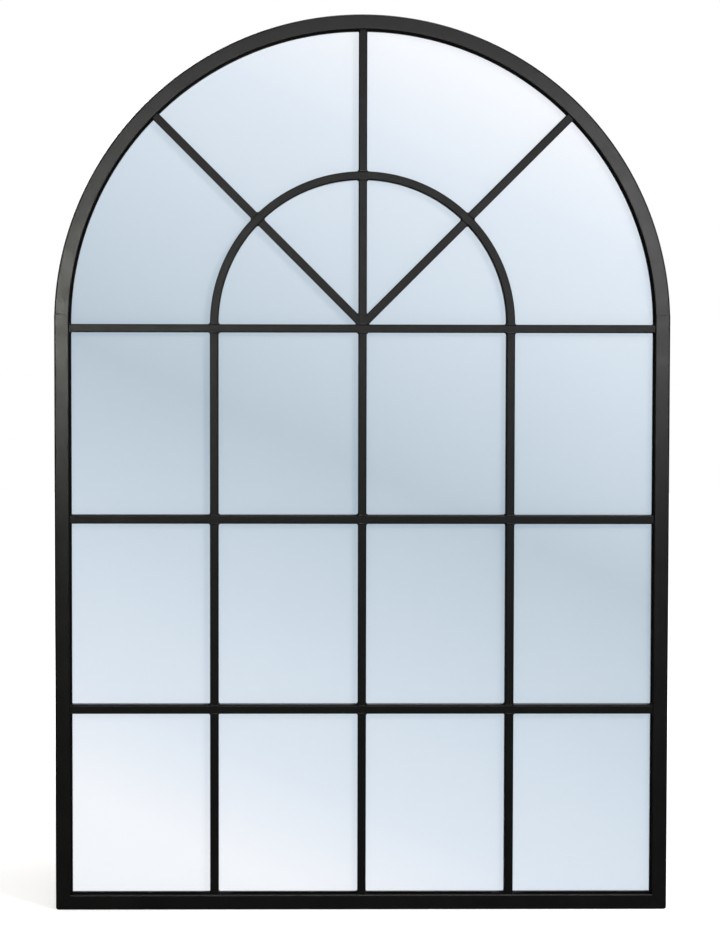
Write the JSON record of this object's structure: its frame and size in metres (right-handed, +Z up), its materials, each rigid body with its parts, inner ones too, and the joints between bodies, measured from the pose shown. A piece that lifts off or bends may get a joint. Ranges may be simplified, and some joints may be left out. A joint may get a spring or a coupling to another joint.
{
  "type": "arched window mirror",
  "caption": "Wall mirror with a black steel frame made like an arched window, glazing bars and a fanlight of spokes in front of the mirror glass, hung by rings.",
  "frame": {"origin": "middle of the bottom rail's underside, half way through the depth of the frame tube", "axes": "+X to the right as seen from the front, -Y out of the front of the mirror, +Z up"},
  "size_m": [0.82, 0.026, 1.195],
  "materials": {
    "frame_steel": "satin black powder coat on welded steel tube",
    "mirror_glass": "polished silvered glass",
    "back_board": "smooth hardboard",
    "zinc_steel": "bright zinc plate",
    "rubber": "matt black rubber"
  },
  "bodies": {
    "mirror": {"left_stile": "frame_steel", "right_stile": "frame_steel", "bottom_rail": "frame_steel", "arch_tube": "frame_steel", "bar_row_1": "frame_steel", "bar_row_2": "frame_steel", "bar_row_3": "frame_steel", "bar_r1_c1": "frame_steel", "bar_r1_c2": "frame_steel", "bar_r1_c3": "frame_steel", "bar_r2_c1": "frame_steel", "bar_r2_c2": "frame_steel", "bar_r2_c3": "frame_steel", "bar_r3_c1": "frame_steel", "bar_r3_c2": "frame_steel", "bar_r3_c3": "frame_steel", "inner_hoop": "frame_steel", "spoke_inner_1": "frame_steel", "spoke_inner_2": "frame_steel", "spoke_inner_3": "frame_steel", "spoke_outer_1": "frame_steel", "spoke_outer_2": "frame_steel", "spoke_outer_3": "frame_steel", "mirror_glass": "mirror_glass", "backing_board": "back_board", "setting_block_left": "rubber", "setting_block_right": "rubber", "clip_left_1": "zinc_steel", "clip_left_2": "zinc_steel", "clip_right_1": "zinc_steel", "clip_right_2": "zinc_steel", "clip_bottom_1": "zinc_steel", "clip_bottom_2": "zinc_steel", "clip_arch_1": "zinc_steel", "clip_arch_2": "zinc_steel", "clip_arch_3": "zinc_steel", "clip_screw_left_1": "zinc_steel", "clip_screw_left_2": "zinc_steel", "clip_screw_right_1": "zinc_steel", "clip_screw_right_2": "zinc_steel", "clip_screw_bottom_1": "zinc_steel", "clip_screw_bottom_2": "zinc_steel", "clip_screw_arch_1": "zinc_steel", "clip_screw_arch_2": "zinc_steel", "clip_screw_arch_3": "zinc_steel", "hanger_strap_left": "zinc_steel", "hanger_screw_left_1": "zinc_steel", "hanger_screw_left_2": "zinc_steel", "hanger_strap_right": "zinc_steel", "hanger_screw_right_1": "zinc_steel", "hanger_screw_right_2": "zinc_steel", "wall_bumper_left": "rubber", "wall_bumper_right": "rubber"},
    "left_ring": {"hanger_ring_left": "zinc_steel"},
    "right_ring": {"hanger_ring_right": "zinc_steel"}
  },
  "joints": [
    {"name": "left_ring_swing", "type": "hinge", "parent": "mirror", "child": "left_ring", "pos_m": [-0.4, 0.013, 0.69], "axis": [1, 0, 0], "range_deg": [0, 180]},
    {"name": "right_ring_swing", "type": "hinge", "parent": "mirror", "child": "right_ring", "pos_m": [0.4, 0.013, 0.69], "axis": [1, 0, 0], "range_deg": [0, 180]}
  ]
}
